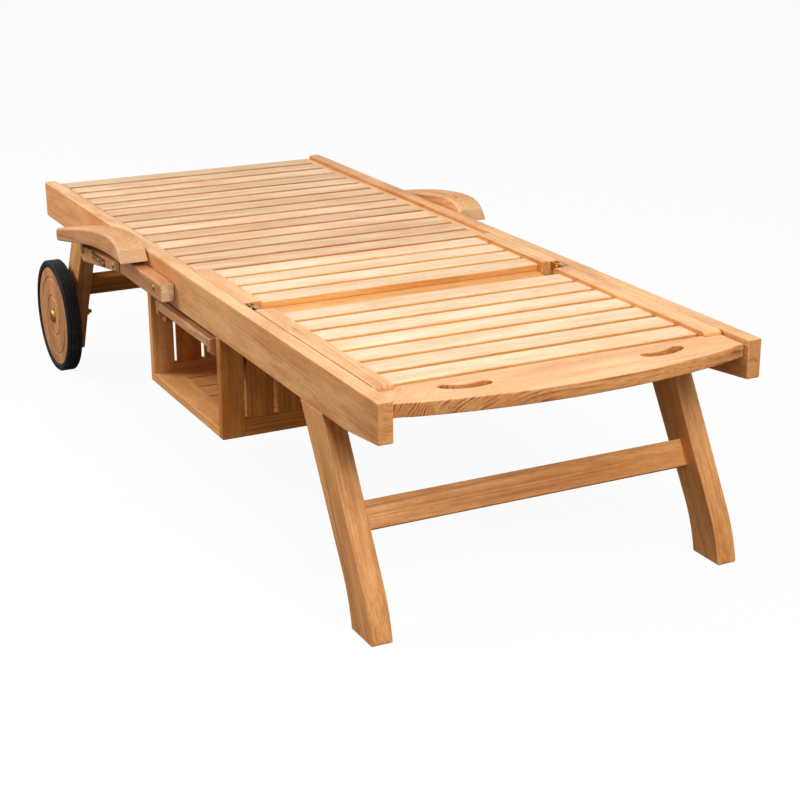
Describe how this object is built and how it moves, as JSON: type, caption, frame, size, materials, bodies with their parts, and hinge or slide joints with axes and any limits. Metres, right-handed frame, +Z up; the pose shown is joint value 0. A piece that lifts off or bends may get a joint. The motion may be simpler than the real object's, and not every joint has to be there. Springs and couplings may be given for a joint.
{
  "type": "sun lounger",
  "caption": "Slatted teak sun lounger on wheels with a reclining back, a rising leg panel, folding curved armrests and a storage box with a sliding tray under the seat.",
  "frame": {"origin": "on the floor, at the middle of the overall length and width", "axes": "+Z up, +Y along the lounger from the foot end towards the head end, +X to the right seen from the foot end"},
  "size_m": [0.924, 2.038, 0.4884],
  "materials": {
    "teak": "sanded, unoiled teak with fine grain along each piece",
    "brass": "satin solid brass",
    "rubber": "black grooved rubber"
  },
  "bodies": {
    "frame": {"left_side_rail": "teak", "right_side_rail": "teak", "left_front_leg": "teak", "right_front_leg": "teak", "front_stretcher": "teak", "left_rear_leg": "teak", "right_rear_leg": "teak", "rear_stretcher": "teak", "knee_cross_rail": "teak", "seat_cross_rail": "teak", "mid_cross_rail": "teak", "head_cross_rail": "teak", "left_seat_stile": "teak", "right_seat_stile": "teak", "seat_slats": "teak", "back_racks": "teak", "leg_racks": "teak", "box_foot_frame": "teak", "box_head_frame": "teak", "box_panel_slats": "teak", "box_floor_edge_boards": "teak", "box_floor_slats": "teak", "tray_runners": "teak", "wheel_bolts": "brass", "wheel_nuts": "brass", "wheel_washers": "brass", "knee_hinge_seat_plates": "brass", "knee_hinge_pins": "brass", "arm_pivot_bolts": "brass"},
    "back": {"left_back_stile": "teak", "right_back_stile": "teak", "back_slats": "teak", "back_bolts": "brass"},
    "back_prop": {"back_prop_arms": "teak", "back_prop_bar": "teak"},
    "leg": {"left_leg_stile": "teak", "right_leg_stile": "teak", "leg_head_rail": "teak", "leg_slats": "teak", "end_board": "teak", "knee_hinge_leg_plates": "brass", "leg_prop_bolts": "brass"},
    "leg_prop": {"leg_prop_arms": "teak", "leg_prop_bar": "teak"},
    "tray": {"tray_frame": "teak", "tray_slats": "teak"},
    "left_wheel": {"left_wheel": "teak", "left_tyre": "rubber"},
    "left_front_post": {"left_front_post": "teak"},
    "left_armrest": {"left_armrest": "teak", "left_arm_brackets": "brass"},
    "left_rear_post": {"left_rear_post": "teak", "left_arm_catch": "brass"},
    "right_wheel": {"right_wheel": "teak", "right_tyre": "rubber"},
    "right_front_post": {"right_front_post": "teak"},
    "right_armrest": {"right_armrest": "teak", "right_arm_brackets": "brass"},
    "right_rear_post": {"right_rear_post": "teak", "right_arm_catch": "brass"}
  },
  "joints": [
    {"name": "back_recline", "type": "hinge", "parent": "frame", "child": "back", "pos_m": [0, 0.029, 0.43], "axis": [1, 0, 0], "range_deg": [0, 65]},
    {"name": "back_prop_swing", "type": "hinge", "parent": "back", "child": "back_prop", "pos_m": [0, 0.329, 0.425], "axis": [1, 0, 0], "range_deg": [-130, 0]},
    {"name": "leg_raise", "type": "hinge", "parent": "frame", "child": "leg", "pos_m": [0, -0.336, 0.458], "axis": [-1, 0, 0], "range_deg": [0, 30]},
    {"name": "leg_prop_swing", "type": "hinge", "parent": "leg", "child": "leg_prop", "pos_m": [0, -0.546, 0.43], "axis": [-1, 0, 0], "range_deg": [-60, 0]},
    {"name": "tray_slide", "type": "slide", "parent": "frame", "child": "tray", "axis": [-1, 0, 0], "range_m": [0, 0.2]},
    {"name": "left_wheel_spin", "type": "hinge", "parent": "frame", "child": "left_wheel", "pos_m": [-0.4245, 0.859, 0.145], "axis": [1, 0, 0], "continuous": true},
    {"name": "left_arm_raise", "type": "hinge", "parent": "frame", "child": "left_front_post", "pos_m": [-0.4114, 0.06, 0.414], "axis": [1, 0, 0], "range_deg": [0, 85]},
    {"name": "left_armrest_level", "type": "hinge", "parent": "left_front_post", "child": "left_armrest", "pos_m": [-0.4114, 0.304, 0.398], "axis": [1, 0, 0], "range_deg": [-85, 0]},
    {"name": "left_rear_post_swing", "type": "hinge", "parent": "left_armrest", "child": "left_rear_post", "pos_m": [-0.4114, 0.591, 0.38], "axis": [1, 0, 0], "range_deg": [0, 85]},
    {"name": "right_wheel_spin", "type": "hinge", "parent": "frame", "child": "right_wheel", "pos_m": [0.4245, 0.859, 0.145], "axis": [1, 0, 0], "continuous": true},
    {"name": "right_arm_raise", "type": "hinge", "parent": "frame", "child": "right_front_post", "pos_m": [0.4114, 0.06, 0.414], "axis": [1, 0, 0], "range_deg": [0, 85]},
    {"name": "right_armrest_level", "type": "hinge", "parent": "right_front_post", "child": "right_armrest", "pos_m": [0.4114, 0.304, 0.398], "axis": [1, 0, 0], "range_deg": [-85, 0]},
    {"name": "right_rear_post_swing", "type": "hinge", "parent": "right_armrest", "child": "right_rear_post", "pos_m": [0.4114, 0.591, 0.38], "axis": [1, 0, 0], "range_deg": [0, 85]}
  ],
  "couplings": [
    {"joint": "back_prop_swing", "follows": "back_recline", "ratio": -2},
    {"joint": "leg_prop_swing", "follows": "leg_raise", "ratio": -2},
    {"joint": "left_armrest_level", "follows": "left_arm_raise", "ratio": -1},
    {"joint": "left_rear_post_swing", "follows": "left_arm_raise", "ratio": 1},
    {"joint": "right_armrest_level", "follows": "right_arm_raise", "ratio": -1},
    {"joint": "right_rear_post_swing", "follows": "right_arm_raise", "ratio": 1}
  ]
}
